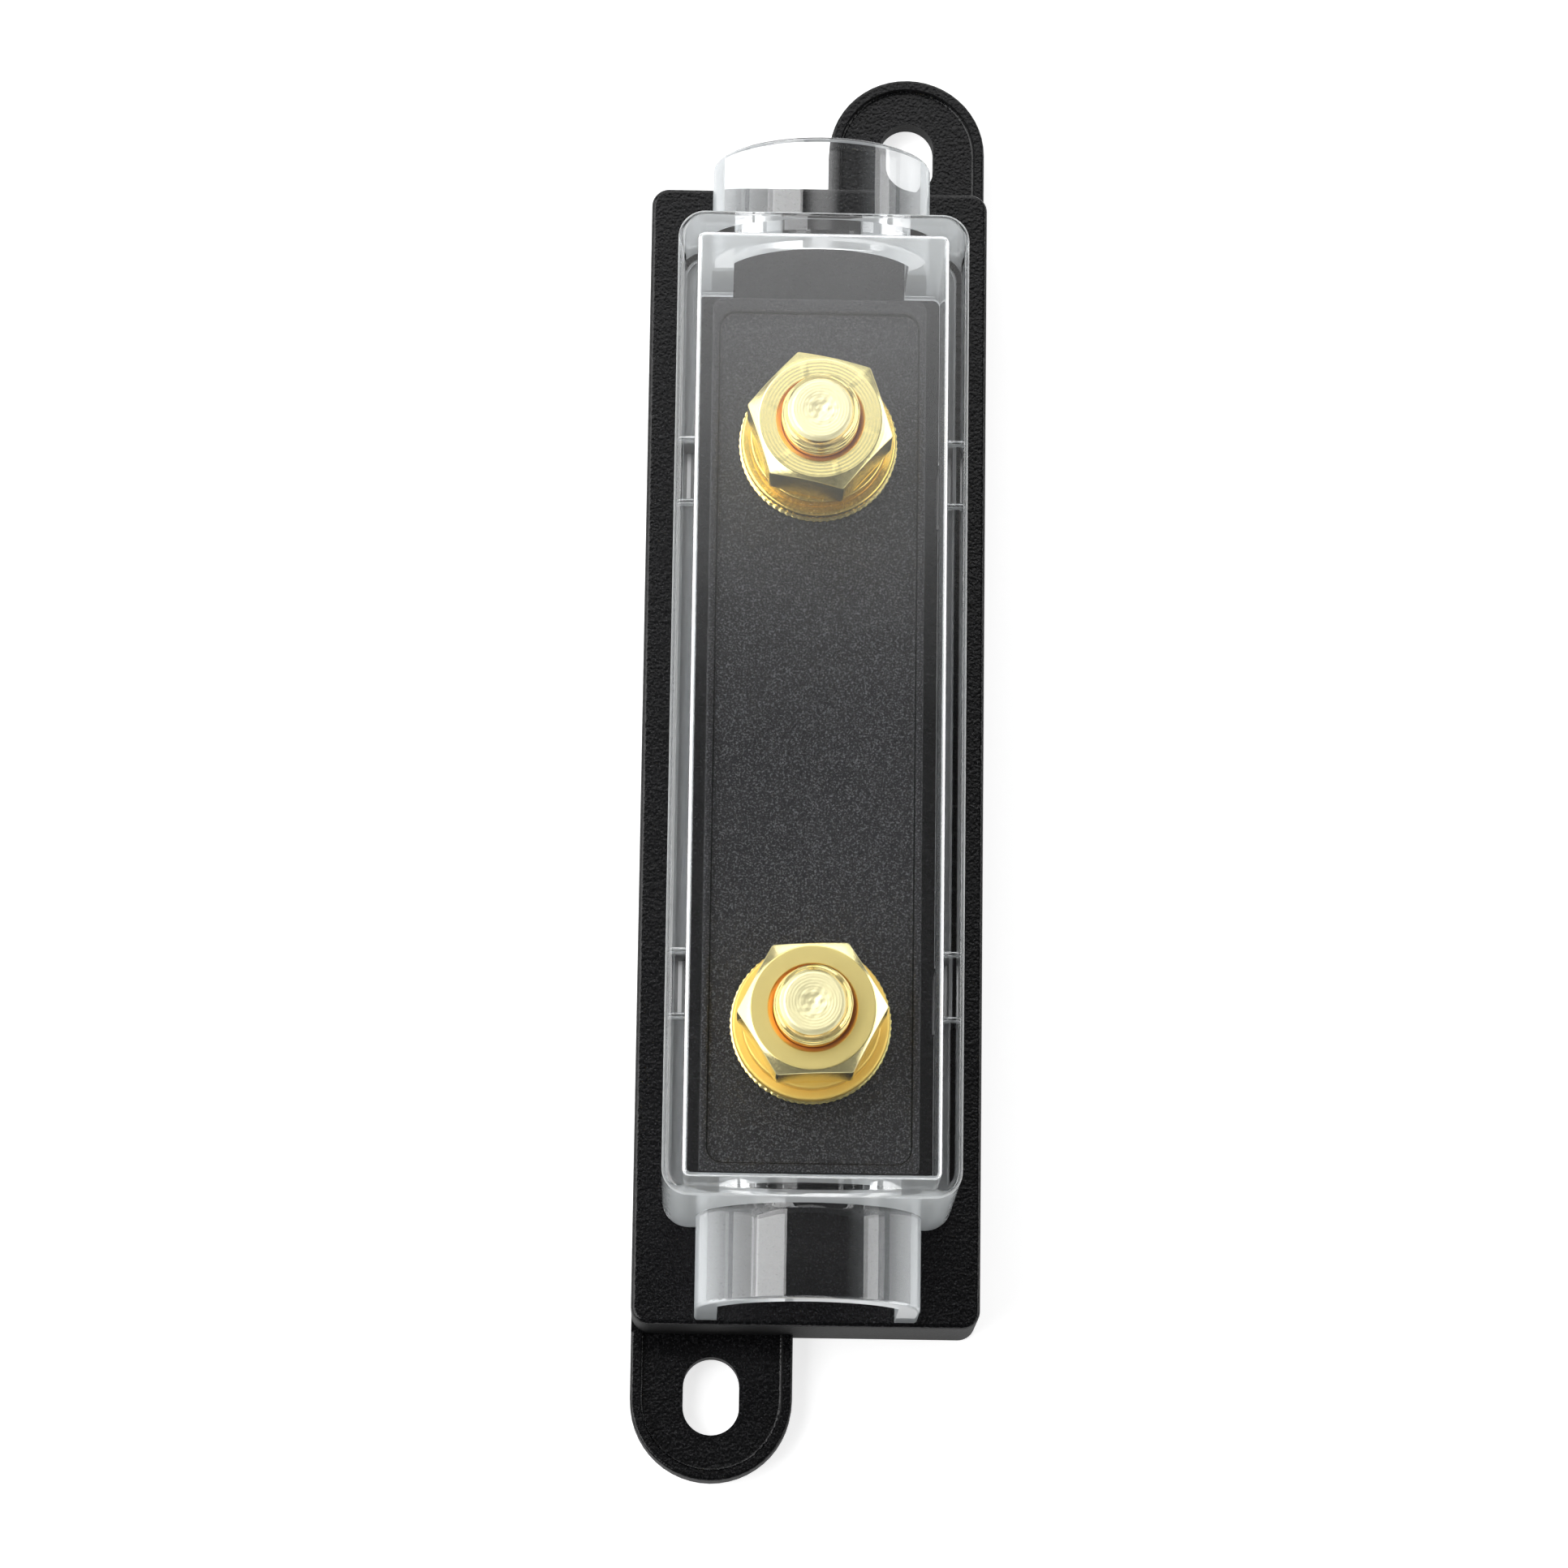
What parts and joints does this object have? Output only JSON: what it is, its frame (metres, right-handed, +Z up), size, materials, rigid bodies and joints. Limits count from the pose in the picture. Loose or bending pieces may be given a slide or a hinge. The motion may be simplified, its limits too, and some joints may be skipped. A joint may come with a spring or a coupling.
{
  "type": "fuse holder",
  "caption": "Surface-mount strip-fuse holder: black base with diagonal slotted ears, threaded terminal studs and a clear lift-off cover with an arched cable entry at each end.",
  "frame": {"origin": "centre of the underside of the base", "axes": "+Y along the length, from the left-hand ear's end to the right-hand ear's end; +Z up through the cover; +X to the right"},
  "size_m": [0.035, 0.1486, 0.0345],
  "materials": {
    "base_plastic": "fine spark-eroded texture",
    "clear_cover": "clear polycarbonate, polished",
    "plated_stud": "bright gold plating",
    "plated_hardware": "bright gold plating"
  },
  "bodies": {
    "base": {"base": "base_plastic", "stud_near": "plated_stud", "stud_far": "plated_stud", "washer_near": "plated_hardware", "washer_far": "plated_hardware", "spring_washer_near": "plated_hardware", "spring_washer_far": "plated_hardware"},
    "cover": {"cover": "clear_cover"},
    "nut_near": {"nut_near": "plated_hardware"},
    "nut_far": {"nut_far": "plated_hardware"}
  },
  "joints": [
    {"name": "cover_lift", "type": "slide", "parent": "base", "child": "cover", "axis": [0, 0, 1], "range_m": [0, 0.04]},
    {"name": "nut_near_turn", "type": "hinge", "parent": "base", "child": "nut_near", "pos_m": [0, -0.03, 0.0237], "axis": [0, 0, 1], "continuous": true},
    {"name": "nut_far_turn", "type": "hinge", "parent": "base", "child": "nut_far", "pos_m": [0, 0.03, 0.0237], "axis": [0, 0, 1], "continuous": true}
  ]
}
